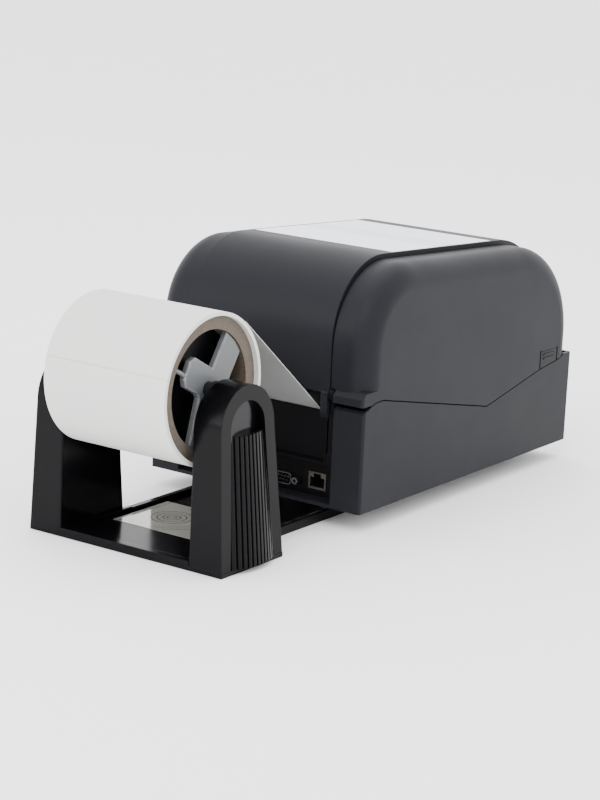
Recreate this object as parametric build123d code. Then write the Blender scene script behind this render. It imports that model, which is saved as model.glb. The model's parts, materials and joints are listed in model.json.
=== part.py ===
from build123d import *
from math import atan2, cos, degrees, hypot, pi, radians, sin, sqrt, tan
import os

# Desktop thermal label printer with its outside roll holder, in millimetres.
# Modelled in the printer's own axes: y = 0 is its rear face, the front is at -y, the table is z = 0.
# The export moves everything along y so that the origin is under the middle of the whole object.

# ---- driving dimensions: printer ----
HALF_WIDTH = 88.0
DEPTH = 280.0
BOTTOM = 13.4
WALL = 2.5
FRONT_TOP = 81.0
LID_TOP = 181.6          # height of the lid's top line where it meets the rear plane
LID_SLOPE = 0.057        # the top falls this much for each millimetre towards the front
LID_FRONT = -278.5
REAR_RADIUS = 54.0
FRONT_RADIUS = 71.0
CENTRE_HALF = 60.0       # half width of the lid's raised middle section
GROOVE = 0.4             # half of the gap between the middle section and a side cap
CAP_DROP = 3.2           # the side caps sit this much below the middle section
CAP_EDGE = 16.0
STRIP = 24.0             # width of each rear corner post of the lower housing
SEAM_GAP = 0.8
LID_EDGE = 91.4          # lower edge of the lid's rear wall
HINGE_Y = -2.5
HINGE_Z = 90.0
HINGE_PIN_R = 2.0
HINGE_RELIEF = 6.4       # the lower housing is cut away this far round the hinge
EAR_R = 5.0
LEDGE_LOW = 86.7         # the hinge ledge of a side cap, from its underside to its top
LEDGE_TOP = 95.5
LEDGE_REAR = 2.5
LEDGE_SLOPE = 3.7        # the ledge's sloping top falls this much towards the rear
LEDGE_SLOT = -4.0        # the slot under the ledge runs from the rear to here
LEDGE_FRONT = -20.0
PIN_R = 3.0
RUN = 0.05               # radial clearance of a running fit
SHELF = 43.0
PANEL_Y = -12.0
SILL_HALF = 54.0         # half width of the sill that the label passes over
SILL_Y = (-10.4, -8.0)
SILL_TOP = (75.2, 77.2)

# ---- driving dimensions: holder and roll ----
ROLL_Y = 112.0
ROLL_Z = 110.8
ROLL_R = 49.5
ROLL_HALF = 48.2
CORE_R = 47.0
CORE_BORE = 38.1
CORE_RECESS = 3.5
HOLDER_HALF = 78.4
POST_INNER = 52.5
POST_FRONT = 72.6
POST_REAR = 137.5
POST_ARC_Y = 109.75
POST_ARC_Z = 90.5
POST_ARC_R = 27.75
POST_HEIGHT = 125.0
POST_LEAN = 0.0475       # the outer face leans inwards this much for each millimetre up
POST_BORDER = 10.0
POST_WALL = 3.2
PLATE_HALF = 52.0
PLATE_FRONT = -262.0
TRAY_FLOOR = 3.0
RIM = 6.0
SPINDLE_R = 5.0
SPINDLE_HALF = 61.0
BORE_DEPTH = 9.0

# ---- driving dimensions: mechanism ----
PLATEN_Y = -258.0
PLATEN_Z = 71.0
PLATEN_R = 9.0
WEB = 0.3
WEB_ANGLE = 39.0         # slope of the label between the roll and the printer
MODULE = 0.8
MOTOR_Y = -212.0
MOTOR_Z = 45.0
MOTOR_HALF = 17.6
FRAME_X = 60.0
PINION = 16
IDLER = 46
PLATEN_TEETH = 28
GUIDE_PINION = 16
MESH_PLAY = 0.12

# ---- driving dimensions: small parts ----
BUTTON_X = 56.0
BUTTON_Z = 48.0
BUTTON_R = 8.0
LENS_X = (28.0, 38.0)
LENS_R = 2.0
SCREW_PLACES = [(x, y) for x in (-72, 72) for y in (-250, -34)]
FOOT_PLACES = [(x, y) for x in (-42, 42) for y in (-245, -32)]
PORT_Z = 24.0
SERIAL_X = -17.0
JACK_X = (-29.5, -4.5)
USB_X = 11.0
INLET_X = 30.0
SWITCH_X = 51.0
ROCKER_Y = -15.5
ROCKER_Z = 29.5
ROCKER_HALF = 5.9
RAIL_Y = -236.0
RAIL_Z = 60.5
GEAR_X0 = 63.2
GEAR_X1 = 68.0
GUIDE_X = 49.0
GUIDE_Y = -100.0
GUIDE_PHASE = 0.5
BEND_Y = -36.0
BEND_R = 8.0
ROLLER_R = 7.4
WINDOW_X = 58.0
WINDOW_Y = -136.5
WINDOW_LENGTH = 131.0
WINDOW_DEPTH = 1.6
TAB_Y = (-257.6, -233.0)
TAB_TOP = 88.5
SLOT = 1.5
HEAD_PIVOT = (-226.0, 96.0)
ADAPTER_X = 43.6
ADAPTER_THICK = 4.0
LONG_ARMS = ((123.0, 7.1), (-74.0, -3.1))      # direction of each arm and its offset to the side
SHORT_ARMS = ((28.0, 3.4), (208.0, 3.4))
ARM_WIDTH = 20.0
SHORT_REACH = 26.0
ADAPTER_BOSS = 10.0
HUB_R = 9.5
HOLDER_SCREW_X = 59.5
HOLDER_SCREW_Y = (84.0, 126.0)
COVER_LOW = 3.2          # the ribbed cover runs from here
RIB_TOP = 87.0           # up to here, above it the cover is scooped
COVER_R = 45.0
COVER_OUT = (84.5, 76.2)     # how far out the cover's crown stands at its foot and at the rib tops
COVER_CROWN_Y = (105.0, 109.0)
COVER_SKIN = 3.0
RIB_COUNT = 12
RIB_FIRST = 84.4
RIB_PITCH = 3.95
GROOVE_WIDTH = 1.6
GROOVE_DEPTH = 1.4

BUTTON_OUT = 0.9          # the feed button stands this much proud of the front face
Y_SHIFT = (DEPTH + BUTTON_OUT - ROLL_Y - ROLL_R) / 2


# ---- helpers ----
def block(x0, x1, y0, y1, z0, z1):
    return Pos((x0 + x1) / 2, (y0 + y1) / 2, (z0 + z1) / 2) * Box(x1 - x0, y1 - y0, z1 - z0)


def rod_x(y, z, r, x0, x1):
    return Pos((x0 + x1) / 2, y, z) * Rot(0, 90, 0) * Cylinder(r, x1 - x0)


def rod_y(x, z, r, y0, y1):
    return Pos(x, (y0 + y1) / 2, z) * Rot(90, 0, 0) * Cylinder(r, y1 - y0)


def rod_z(x, y, r, z0, z1):
    return Pos(x, y, (z0 + z1) / 2) * Cylinder(r, z1 - z0)


def side_face(points):
    return make_face(Polyline(*points, close=True))


def across(face, x0, x1):
    return extrude(Plane.YZ.offset(x0) * face, x1 - x0)


def prism(points, x0, x1):
    return across(side_face(points), x0, x1)


def mirrored(shape):
    return mirror(shape, Plane.YZ)


def both(shape):
    return [shape, mirrored(shape)]


def gear(teeth, y, z, x0, x1, phase=0.0, backlash=0.32):
    """Spur gear about an axis along x, with straight-sided teeth; phase turns it, in teeth."""
    pitch_r = MODULE * teeth / 2
    tip_r = pitch_r + 0.85 * MODULE
    root_r = pitch_r - 1.15 * MODULE
    pitch = 2 * pi / teeth
    half = (pi * MODULE / 2 - backlash) / 2
    points = []
    for k in range(teeth):
        mid = (k + phase) * pitch
        for radius, side in ((root_r, -1), (tip_r, -1), (tip_r, 1), (root_r, 1)):
            flank = 0.42 if radius == root_r else -0.36
            angle = mid + side * (half + flank * MODULE) / radius
            points.append((y + radius * cos(angle), z + radius * sin(angle)))
    return prism(points, x0, x1)


# ---- printer outline ----
def seam_points(lift):
    """The line between the lower housing and the lid, rear to front, raised by lift."""
    rear = [(3, 83.8), (-4, 84.3), (-13, 87.1), (-22, 87.6)]
    front = [(-159, 59.4), (-233, 74.2), (-262, 78), (-269, FRONT_TOP), (-DEPTH - 1, FRONT_TOP)]
    return [(y, z + lift) for y, z in rear + front]


def lid_face(rear=0.0, front=0.0, drop=0.0, inset=0.0, low=55.0):
    """Side outline of the lid; inset moves the whole line inwards by the same distance."""
    y0 = -rear - inset
    y1 = LID_FRONT + front + inset
    top = LID_TOP - drop - inset * sqrt(1 + LID_SLOPE ** 2)
    corners = [(y0, low), (y0, top + LID_SLOPE * y0), (y1, top + LID_SLOPE * y1), (y1, low)]
    face = side_face(corners)
    upper = [v for v in face.vertices() if v.Y > low + 20]
    face = fillet([v for v in upper if abs(v.X - y0) < 0.01], REAR_RADIUS - inset)
    upper = [v for v in face.vertices() if v.Y > low + 20]
    return fillet([v for v in upper if abs(v.X - y1) < 0.01], FRONT_RADIUS - inset)


def above_seam(x0, x1):
    top = LID_TOP + 20
    return prism(seam_points(SEAM_GAP) + [(-DEPTH - 1, top), (3, top)], x0, x1)


def round_hinge(x0, x1, r):
    return rod_x(HINGE_Y, HINGE_Z, r, x0, x1)


# ---- lower housing ----
POST_INSIDE = HALF_WIDTH - STRIP
POST_BEVEL = 2.4
BEVEL_TOP = 83.6
EAR_X0 = 60.2
EAR_X1 = 63.7


def ordered(side, a, b):
    return sorted((side * a, side * b))


def lower_housing():
    line = [(min(y, 0), z) for y, z in seam_points(0)[:-1]]
    outline = [(0, BOTTOM)] + line + [(-DEPTH, FRONT_TOP), (-DEPTH, BOTTOM)]
    outer = prism(outline, -HALF_WIDTH, HALF_WIDTH)
    upright = [e for e in outer.edges().filter_by(Axis.Z) if abs(e.center().X) > HALF_WIDTH - 1]
    outer = fillet(upright, 2.2)
    inner = HALF_WIDTH - WALL
    body = outer - block(-inner, inner, -DEPTH + WALL, -WALL, BOTTOM + WALL, 100)
    body -= block(-POST_INSIDE, POST_INSIDE, -WALL - 1, 1, BOTTOM + WALL, 100)
    for side in (-1, 1):
        x0, x1 = ordered(side, POST_INSIDE, POST_INSIDE + WALL)
        body += block(x0, x1, -22, -WALL / 2, BOTTOM, 83)
        x0, x1 = ordered(side, POST_INSIDE, HALF_WIDTH - 1)
        body += block(x0, x1, -22, -19.5, BOTTOM + 1, 79)
        x0, x1 = ordered(side, POST_INSIDE - 2, HALF_WIDTH + 1)
        body -= round_hinge(x0, x1, HINGE_RELIEF)
    bevel = [(-POST_BEVEL, BEVEL_TOP), (1, BEVEL_TOP - POST_BEVEL - 1), (1, 86), (-POST_BEVEL, 86)]
    body -= prism(bevel, -HALF_WIDTH - 1, HALF_WIDTH + 1)
    body -= block(-57, 57, -DEPTH - 1, -DEPTH + WALL + 1, 79.4, 90)
    body -= rod_y(BUTTON_X, BUTTON_Z, BUTTON_R + 0.3, -DEPTH - 1, -DEPTH + WALL + 1)
    for x in LENS_X:
        body -= rod_y(x, BUTTON_Z, LENS_R, -DEPTH - 1, -DEPTH + WALL + 1)
    for x, y in SCREW_PLACES:
        body += rod_z(x, y, 4.5, BOTTOM + 1, BOTTOM + 12)
        body -= rod_z(x, y, 1.6, BOTTOM - 1, BOTTOM + 10)
        body -= rod_z(x, y, 3.4, BOTTOM - 1, BOTTOM + 2.2)
    for x, y in FOOT_PLACES:
        body -= rod_z(x, y, 6.0, BOTTOM - 1, BOTTOM + 1)
    return body


def hinge_ear(side):
    x0, x1 = ordered(side, EAR_X0, EAR_X1)
    ear = block(x0, x1, HINGE_Y - EAR_R, HINGE_Y + 2, SHELF, HINGE_Z) + round_hinge(x0, x1, EAR_R)
    return ear - round_hinge(x0 - 1, x1 + 1, HINGE_PIN_R)


def rear_panel():
    edge = POST_INSIDE - 0.2
    panel = block(-edge, edge, PANEL_Y - WALL, PANEL_Y, BOTTOM + WALL, SHELF)
    panel += block(-edge, edge, -46, -4, SHELF - 2.2, SHELF)
    sill = [(SILL_Y[0], SHELF - 1), (SILL_Y[1], SHELF - 1)]
    sill += [(SILL_Y[1], SILL_TOP[1]), (SILL_Y[0], SILL_TOP[0])]
    panel += prism(sill, -SILL_HALF, SILL_HALF)
    for side in (-1, 1):
        x0, x1 = ordered(side, 55, edge)
        panel += block(x0, x1, -46, -4, SHELF - 1, SHELF + 6)
        panel += hinge_ear(side)
    front, back = PANEL_Y - WALL - 1, PANEL_Y + 1
    panel -= block(-52.8, -38.2, front, back, 20.2, 32.6)
    panel -= Pos(SERIAL_X, back, PORT_Z) * Rot(90, 0, 0) * extrude(RectangleRounded(17.1, 8.6, 2.5), 5)
    for x in JACK_X:
        panel -= rod_y(x, PORT_Z, 1.3, front, back)
    panel -= block(USB_X - 6.2, USB_X + 6.2, front, back, 20.2, 32.0)
    panel -= rod_y(INLET_X, 26.5, 5.8, front, back)
    panel -= block(SWITCH_X - 8, SWITCH_X + 8, front, back, 19.5, 39.5)
    return panel


def hinge_pins():
    return Compound(both(round_hinge(EAR_X0, 84.5, HINGE_PIN_R - 0.01)))


def main_board():
    top = 20.4
    board = block(-63.5, 63.5, -150, -17, top - 1.6, top)
    board -= block(SWITCH_X - 9, SWITCH_X + 9, -33, -10, top - 2, top + 1)
    board += block(-60, -42, -90, -72, top, 22.6)
    board += block(-20, 0, -110, -92, top, 22.2)
    board += block(10, 40, -148, -142, top, 28)
    for x in (30, 44):
        board += rod_z(x, -70, 5, top, 34)
    for x in (-61, 60):
        for y in (-144, -44):
            board += rod_z(x, y, 3, BOTTOM + WALL, top - 1)
    return board


def ethernet_port():
    shell = block(-52.6, -38.4, -32, PANEL_Y + 0.5, 20.4, 32.4)
    shell -= block(-51.2, -39.8, -28, PANEL_Y + 1, 22.0, 28.6)
    return shell - block(-48.4, -42.6, -28, PANEL_Y + 1, 28.5, 31.2)


def serial_port():
    body = block(SERIAL_X - 8.4, SERIAL_X + 8.4, -30, -15.2, 20.4, 28.2)
    body += Pos(SERIAL_X, -9.4, PORT_Z) * Rot(90, 0, 0) * extrude(RectangleRounded(16.9, 8.4, 2.4), 6.4)
    body -= Pos(SERIAL_X, -9.0, PORT_Z) * Rot(90, 0, 0) * extrude(RectangleRounded(15.5, 7.0, 1.8), 5.4)
    for row, count, z in ((0, 5, PORT_Z + 1.3), (1, 4, PORT_Z - 1.4)):
        for k in range(count):
            body += rod_y(SERIAL_X + (k - (count - 1) / 2) * 2.76, z, 0.5, -15, -10.4)
    return body


def jack_screws():
    screws = []
    for x in JACK_X:
        head = Pos(x, PANEL_Y + 4.5, PORT_Z) * Rot(90, 0, 0) * extrude(RegularPolygon(2.7, 6), 4.45)
        head += rod_y(x, PORT_Z, 1.25, PANEL_Y - 5, PANEL_Y + 0.5)
        screws.append(head - rod_y(x, PORT_Z, 1.2, PANEL_Y + 1, PANEL_Y + 5))
    return Compound(screws)


def usb_port():
    shell = block(USB_X - 6, USB_X + 6, -30, PANEL_Y + 0.5, 20.4, 31.8)
    shell -= block(USB_X - 5.2, USB_X + 5.2, -27, PANEL_Y + 1, 21.6, 31.0)
    return shell + block(USB_X - 2.8, USB_X + 2.8, -28, -15, 24.8, 28.0)


def power_inlet():
    body = block(INLET_X - 5.5, INLET_X + 5.5, -30, -14.8, 20.4, 32.0)
    body += rod_y(INLET_X, 26.5, 5.6, -16, PANEL_Y + 0.4)
    body -= rod_y(INLET_X, 26.5, 3.6, -26, PANEL_Y + 1)
    return body + rod_y(INLET_X, 26.5, 1.1, -28, -14)


def switch_body():
    body = block(SWITCH_X - 7.8, SWITCH_X + 7.8, -31, PANEL_Y + 0.5, 19.7, 39.3)
    body += block(SWITCH_X - 9, SWITCH_X + 9, PANEL_Y + 0.05, PANEL_Y + 1.6, 18.4, 40.6)
    body -= block(SWITCH_X - 6.2, SWITCH_X + 6.2, -28, PANEL_Y + 2, 20.9, 38.1)
    return body + rod_x(ROCKER_Y, ROCKER_Z, 1.2, SWITCH_X - 7, SWITCH_X + 7)


def power_rocker():
    """Rocker with a shallow vee face; it stands with its upper half pressed in."""
    shape = [(-17.5, 26), (-17.5, 33), (-13.2, 36.6), (-12.6, 30), (-9.8, 23.2), (-12.6, 22.4)]
    half = ROCKER_HALF
    rocker = prism(shape, SWITCH_X - half, SWITCH_X + half)
    return rocker - rod_x(ROCKER_Y, ROCKER_Z, 1.25, SWITCH_X - 8, SWITCH_X + 8)


def rubber_feet():
    feet = []
    for x, y in FOOT_PLACES:
        foot = rod_z(x, y, 6.0, TRAY_FLOOR, BOTTOM + 1)
        feet.append(chamfer(foot.edges().sort_by(Axis.Z)[0], 0.8))
    return Compound(feet)


def housing_screws():
    screws = []
    for x, y in SCREW_PLACES:
        screw = rod_z(x, y, 3.2, BOTTOM + 0.4, BOTTOM + 2.2) + rod_z(x, y, 1.5, BOTTOM + 2.1, BOTTOM + 9)
        screw -= block(x - 1.8, x + 1.8, y - 0.35, y + 0.35, BOTTOM, BOTTOM + 1.3)
        screws.append(screw - block(x - 0.35, x + 0.35, y - 1.8, y + 1.8, BOTTOM, BOTTOM + 1.3))
    return Compound(screws)


def feed_button():
    button = rod_y(BUTTON_X, BUTTON_Z, BUTTON_R, -DEPTH - BUTTON_OUT, -DEPTH + 4)
    button = fillet(button.edges().sort_by(Axis.Y)[0], 0.8)
    return button + rod_y(BUTTON_X, BUTTON_Z, BUTTON_R + 1.6, -DEPTH + WALL + 0.2, -DEPTH + 4)


def status_lenses():
    lenses = [rod_y(x, BUTTON_Z, LENS_R, -DEPTH - 0.3, -DEPTH + 4) for x in LENS_X]
    return Compound(lenses)


def button_board():
    board = block(LENS_X[0] - 8, BUTTON_X + 14, -270, -268.4, BUTTON_Z - 12, BUTTON_Z + 12)
    return board + rod_y(BUTTON_X, BUTTON_Z, 2.5, -273.4, -269)


# ---- mechanism in the lower housing ----
def inner_deck():
    """Floor of the label path: flat bay, ramp and front table, with the guide roller's two cheeks."""
    thick = 2.2
    bay = [(-46.5, 46.5), (-150, 46.5), (-171, 68)]
    deck = prism(bay + [(y, z - thick) for y, z in reversed(bay)], -84.8, 84.8)
    table = [(-150, 46.5), (-172, 69), (-243, 71.2)]
    deck += prism(table + [(y, z - thick) for y, z in reversed(table)], -59, 59)
    deck -= block(-50, 50, -241, -231, 60, 80)
    for side in (-1, 1):
        x0, x1 = ordered(side, 58, 60)
        deck += block(x0, x1, ROLLER_Y - 6, ROLLER_Y + 6, 42, ROLLER_Z + 6)
        for y in (-60, -140):
            deck += rod_z(side * 80, y, 3.0, BOTTOM + WALL, 45)
    deck -= block(-61, 61, -46.4, -28, 40, 49.2)
    for side in (-1, 1):
        x0, x1 = ordered(side, 58, 60)
        deck += block(x0, x1, -56, ROLLER_Y + 6, 49.3, ROLLER_Z - 2)
        deck += block(x0, x1, -56, -46.5, 45, 50)
    deck += rod_z(0, GUIDE_Y, 2.0, 46, 54.2)
    return deck - rod_x(ROLLER_Y, ROLLER_Z, PIN_R + RUN, -61, 61)


def guide_roller():
    roller = rod_x(ROLLER_Y, ROLLER_Z, ROLLER_R, -56, 56)
    roller += rod_x(ROLLER_Y, ROLLER_Z, PIN_R, -59.8, 59.8)
    for k in range(-5, 6):
        groove = rod_x(ROLLER_Y, ROLLER_Z, ROLLER_R + 1, k * 9 - 0.6, k * 9 + 0.6)
        roller -= groove - rod_x(ROLLER_Y, ROLLER_Z, ROLLER_R - 0.6, k * 9 - 1, k * 9 + 1)
    return roller


def chassis():
    """Bent sheet bracket: a floor, two cheeks that carry the platen, a front lip and the idler's stud."""
    floor = BOTTOM + WALL
    outline = [(-267, floor), (-192, floor), (-192, 66), (-244, 67.5), (-246, 77.5), (-264, 77.5), (-267, 74)]
    bracket = block(-FRAME_X - 1.5, FRAME_X + 1.5, -262, -196, floor, floor + 1.5)
    for side in (-1, 1):
        x0, x1 = ordered(side, FRAME_X, FRAME_X + 1.5)
        plate = prism(outline, x0, x1)
        plate -= rod_x(PLATEN_Y, PLATEN_Z, 5.5, x0 - 1, x1 + 1)
        bracket += plate
    bracket += block(-FRAME_X - 1.5, FRAME_X + 1.5, -272.3, -270.8, 62.5, 74)
    for side in (-1, 1):
        x0, x1 = ordered(side, FRAME_X, FRAME_X + 1.5)
        bracket += block(x0, x1, -272.3, -266, 62.5, 74)
    bracket -= rod_x(RAIL_Y, RAIL_Z, 2.0, -FRAME_X - 2, FRAME_X + 2)
    bracket -= rod_x(MOTOR_Y, MOTOR_Z, 6.0, FRAME_X - 1, FRAME_X + 2)
    bracket += rod_x(IDLER_Y, IDLER_Z, 2.5, FRAME_X + 0.5, GEAR_X1 + 1.2)
    return bracket


def platen_bearings():
    rings = []
    for side in (-1, 1):
        x0, x1 = ordered(side, FRAME_X - 2, FRAME_X + 1.5)
        ring = rod_x(PLATEN_Y, PLATEN_Z, 5.5, x0, x1)
        rings.append(ring - rod_x(PLATEN_Y, PLATEN_Z, PIN_R + RUN, x0 - 1, x1 + 1))
    return Compound(rings)


def platen_shaft():
    return rod_x(PLATEN_Y, PLATEN_Z, PIN_R, -63.5, GEAR_X1 + 1)


def platen_sleeve():
    return rod_x(PLATEN_Y, PLATEN_Z, PLATEN_R, -54, 54) - rod_x(PLATEN_Y, PLATEN_Z, PIN_R, -55, 55)


def idler_place():
    """Axis that meshes with both the motor pinion and the platen gear, on the lower side."""
    reach_m = MODULE * (PINION + IDLER) / 2 + MESH_PLAY
    reach_p = MODULE * (IDLER + PLATEN_TEETH) / 2 + MESH_PLAY
    dy, dz = PLATEN_Y - MOTOR_Y, PLATEN_Z - MOTOR_Z
    span = hypot(dy, dz)
    along = (span ** 2 + reach_m ** 2 - reach_p ** 2) / (2 * span)
    off = sqrt(reach_m ** 2 - along ** 2)
    return MOTOR_Y + (dy * along - dz * off) / span, MOTOR_Z + (dz * along + dy * off) / span


def mesh_phase(first, second):
    """Phase of the second gear that puts a gap where the first has a tooth. Each is (y, z, teeth, phase)."""
    y0, z0, teeth0, phase0 = first
    y1, z1, teeth1 = second
    angle = atan2(z1 - z0, y1 - y0)
    lead = angle * teeth0 / (2 * pi) - phase0
    return (angle + pi) * teeth1 / (2 * pi) + lead + 0.5


IDLER_Y, IDLER_Z = idler_place()
IDLER_PHASE = mesh_phase((PLATEN_Y, PLATEN_Z, PLATEN_TEETH, 0.0), (IDLER_Y, IDLER_Z, IDLER))
PINION_PHASE = mesh_phase((IDLER_Y, IDLER_Z, IDLER, IDLER_PHASE), (MOTOR_Y, MOTOR_Z, PINION))


def platen_gear():
    wheel = gear(PLATEN_TEETH, PLATEN_Y, PLATEN_Z, GEAR_X0, GEAR_X1)
    return wheel - rod_x(PLATEN_Y, PLATEN_Z, PIN_R, GEAR_X0 - 1, GEAR_X1 + 1)


def idler_gear():
    wheel = gear(IDLER, IDLER_Y, IDLER_Z, GEAR_X0, GEAR_X1, IDLER_PHASE)
    for k in range(6):
        y = IDLER_Y + 10.5 * cos(k * pi / 3)
        z = IDLER_Z + 10.5 * sin(k * pi / 3)
        wheel -= rod_x(y, z, 3.2, GEAR_X0 - 1, GEAR_X1 + 1)
    return wheel - rod_x(IDLER_Y, IDLER_Z, 2.5 + RUN, GEAR_X0 - 1, GEAR_X1 + 1)


def stepper_motor():
    x1 = FRAME_X - 0.05
    half = MOTOR_HALF
    body = block(x1 - 34, x1, MOTOR_Y - half, MOTOR_Y + half, MOTOR_Z - half, MOTOR_Z + half)
    body = chamfer(body.edges().filter_by(Axis.X), 3.0)
    body += rod_x(MOTOR_Y, MOTOR_Z, 5.9, x1 - 1, x1 + 1.4)
    return body - rod_x(MOTOR_Y, MOTOR_Z, 2.0 + RUN, x1 - 30, x1 + 5)


def motor_pinion():
    wheel = gear(PINION, MOTOR_Y, MOTOR_Z, GEAR_X0, GEAR_X1, PINION_PHASE)
    return wheel + rod_x(MOTOR_Y, MOTOR_Z, 2.0, FRAME_X - 29, GEAR_X0 + 1)


def sensor_rail():
    return rod_x(RAIL_Y, RAIL_Z, 2.0, -FRAME_X - 1.5, FRAME_X + 1.5)


def label_sensor():
    body = block(-8, 8, RAIL_Y - 4.6, RAIL_Y + 4.6, RAIL_Z - 4, 67.5)
    body += block(-5, 5, RAIL_Y - 3, RAIL_Y + 3, 67, 70.6)
    return body - rod_x(RAIL_Y, RAIL_Z, 2.0 + RUN, -9, 9)


def tear_bar():
    pitch = 2.0
    count = 54
    x0 = -pitch * count / 2
    outline = [(x0, 66.0)]
    for k in range(count):
        outline.append((x0 + k * pitch, 78.4))
        outline.append((x0 + (k + 0.5) * pitch, 79.6))
    outline += [(-x0, 78.4), (-x0, 66.0)]
    face = Plane.XZ.offset(272.35) * make_face(Polyline(*outline, close=True))
    return extrude(face, 1.2)


def rack_teeth(x0, x1, y, side, z0, z1, phase):
    """Bar along x with teeth that point to side (+1 or -1 in y); y is its pitch line."""
    pitch = pi * MODULE
    back = y - side * 4.0
    root = y - side * 1.15 * MODULE
    tip = y + side * 0.85 * MODULE
    points = [(x0, back), (x0, root)]
    half = (pi * MODULE / 2 - 0.34) / 2
    for k in range(int(x0 / pitch), int(x1 / pitch) + 1):
        mid = (k + phase) * pitch
        if x0 < mid - 1.2 and mid + 1.2 < x1:
            points += [(mid - half - 0.34, root), (mid - half + 0.25, tip), (mid + half - 0.25, tip),
                       (mid + half + 0.34, root)]
    points += [(x1, root), (x1, back)]
    return extrude(Plane.XY.offset(z0) * make_face(Polyline(*points, close=True)), z1 - z0)


def label_guide(side):
    """Edge guide with a rack under the label; the racks of the two sides face each other."""
    x0, x1 = ordered(side, GUIDE_X, GUIDE_X + 2)
    guide = block(x0, x1, -122, -78, 47.0, 76)
    foot0, foot1 = ordered(side, GUIDE_X, GUIDE_X + 12)
    guide += block(foot0, foot1, -122, -78, 47.0, 49)
    radius = MODULE * GUIDE_PINION / 2 + MESH_PLAY
    start, end = ordered(side, -18, GUIDE_X + 1)
    rack = rack_teeth(start, end, GUIDE_Y - side * radius, side, 47.0, 50.0, 0.0)
    return guide + rack


def guide_pinion():
    wheel = gear(GUIDE_PINION, 0, 0, 0, 3.4, GUIDE_PHASE)
    wheel = Pos(0, GUIDE_Y, 50.2) * Rot(0, 90, 0) * wheel
    return wheel - rod_z(0, GUIDE_Y, 2.0 + RUN, 40, 60)


# ---- lid ----
def lid_band(x0, x1, outer, inner):
    return across(outer, x0, x1) - across(inner, x0 - 1, x1 + 1)


def cap_face(inset=0.0):
    return lid_face(rear=0.6, front=0.6, drop=CAP_DROP, inset=inset)


def top_frame():
    """Location on the lid's sloping top at the middle of the window."""
    z = LID_TOP + LID_SLOPE * WINDOW_Y
    return Pos(0, WINDOW_Y, z) * Rot(degrees(atan2(LID_SLOPE, 1)), 0, 0)


def lid_shell():
    edge = CENTRE_HALF - GROOVE
    shell = lid_band(-edge, edge, lid_face(), lid_face(inset=WALL))
    for side in (-1, 1):
        x0, x1 = ordered(side, edge - 1.6, edge)
        shell += lid_band(x0, x1, lid_face(), cap_face(WALL + 0.1))
    shell -= block(-70, 70, -100, 5, 40, LID_EDGE)
    for side in (-1, 1):
        x0, x1 = ordered(side, edge - 5.1, edge)
        arm = [(-WALL, 93), (-WALL, 79), (-1, 75), (1, 75), (LEDGE_REAR, 79), (LEDGE_REAR, 92), (1.5, 93)]
        shell += prism(arm, x0, x1)
    shell -= block(-70, 70, -DEPTH, -100, 40, 84.0)
    shell -= top_frame() * Box(2 * WINDOW_X, WINDOW_LENGTH, 2 * WINDOW_DEPTH)
    return shell - top_frame() * Box(2 * WINDOW_X - 12, WINDOW_LENGTH - 14, 20)


def lid_window():
    plate = Pos(0, 0, -WINDOW_DEPTH / 2) * Box(2 * WINDOW_X - 0.4, WINDOW_LENGTH - 0.4, WINDOW_DEPTH - 0.02)
    step = Pos(0, 0, -WINDOW_DEPTH - 0.5) * Box(2 * WINDOW_X - 12.4, WINDOW_LENGTH - 14.4, 1.2)
    return top_frame() * (plate + step)


def lid_liner():
    ribs = []
    outer, inner = cap_face(WALL + 0.15), cap_face(WALL + 2.0)
    for side in (-1, 1):
        x0, x1 = ordered(side, 57, 66)
        rib = lid_band(x0, x1, outer, inner)
        rib -= block(x0 - 1, x1 + 1, -100, 5, 40, 108)
        ribs.append(rib - block(x0 - 1, x1 + 1, -DEPTH, -100, 40, 98))
    return Compound(ribs)


def tab_cut(margin):
    y0, y1 = TAB_Y
    return block(HALF_WIDTH - WALL - 0.2, HALF_WIDTH + 1, y0 - margin, y1 + margin, 60, TAB_TOP + margin)


def hinge_ledge():
    """Square block at the foot of a cap's rear corner; it carries the hinge pin."""
    outline = [(LEDGE_FRONT, 60), (LEDGE_REAR, 60), (LEDGE_REAR, LEDGE_TOP - LEDGE_SLOPE)]
    outline += [(-2, LEDGE_TOP), (LEDGE_FRONT, LEDGE_TOP)]
    ledge = prism(outline, EAR_X1 + 0.6, HALF_WIDTH)
    corner = ledge.edges().filter_by(Axis.Z).sort_by(Axis.X)[-2:].sort_by(Axis.Y)[-1]
    ledge = fillet(corner, 2.2)
    ledge -= block(CENTRE_HALF, HALF_WIDTH + 1, LEDGE_FRONT - 1, LEDGE_REAR + 1, 50, LEDGE_LOW)
    return ledge & above_seam(CENTRE_HALF, HALF_WIDTH + 1)


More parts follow.
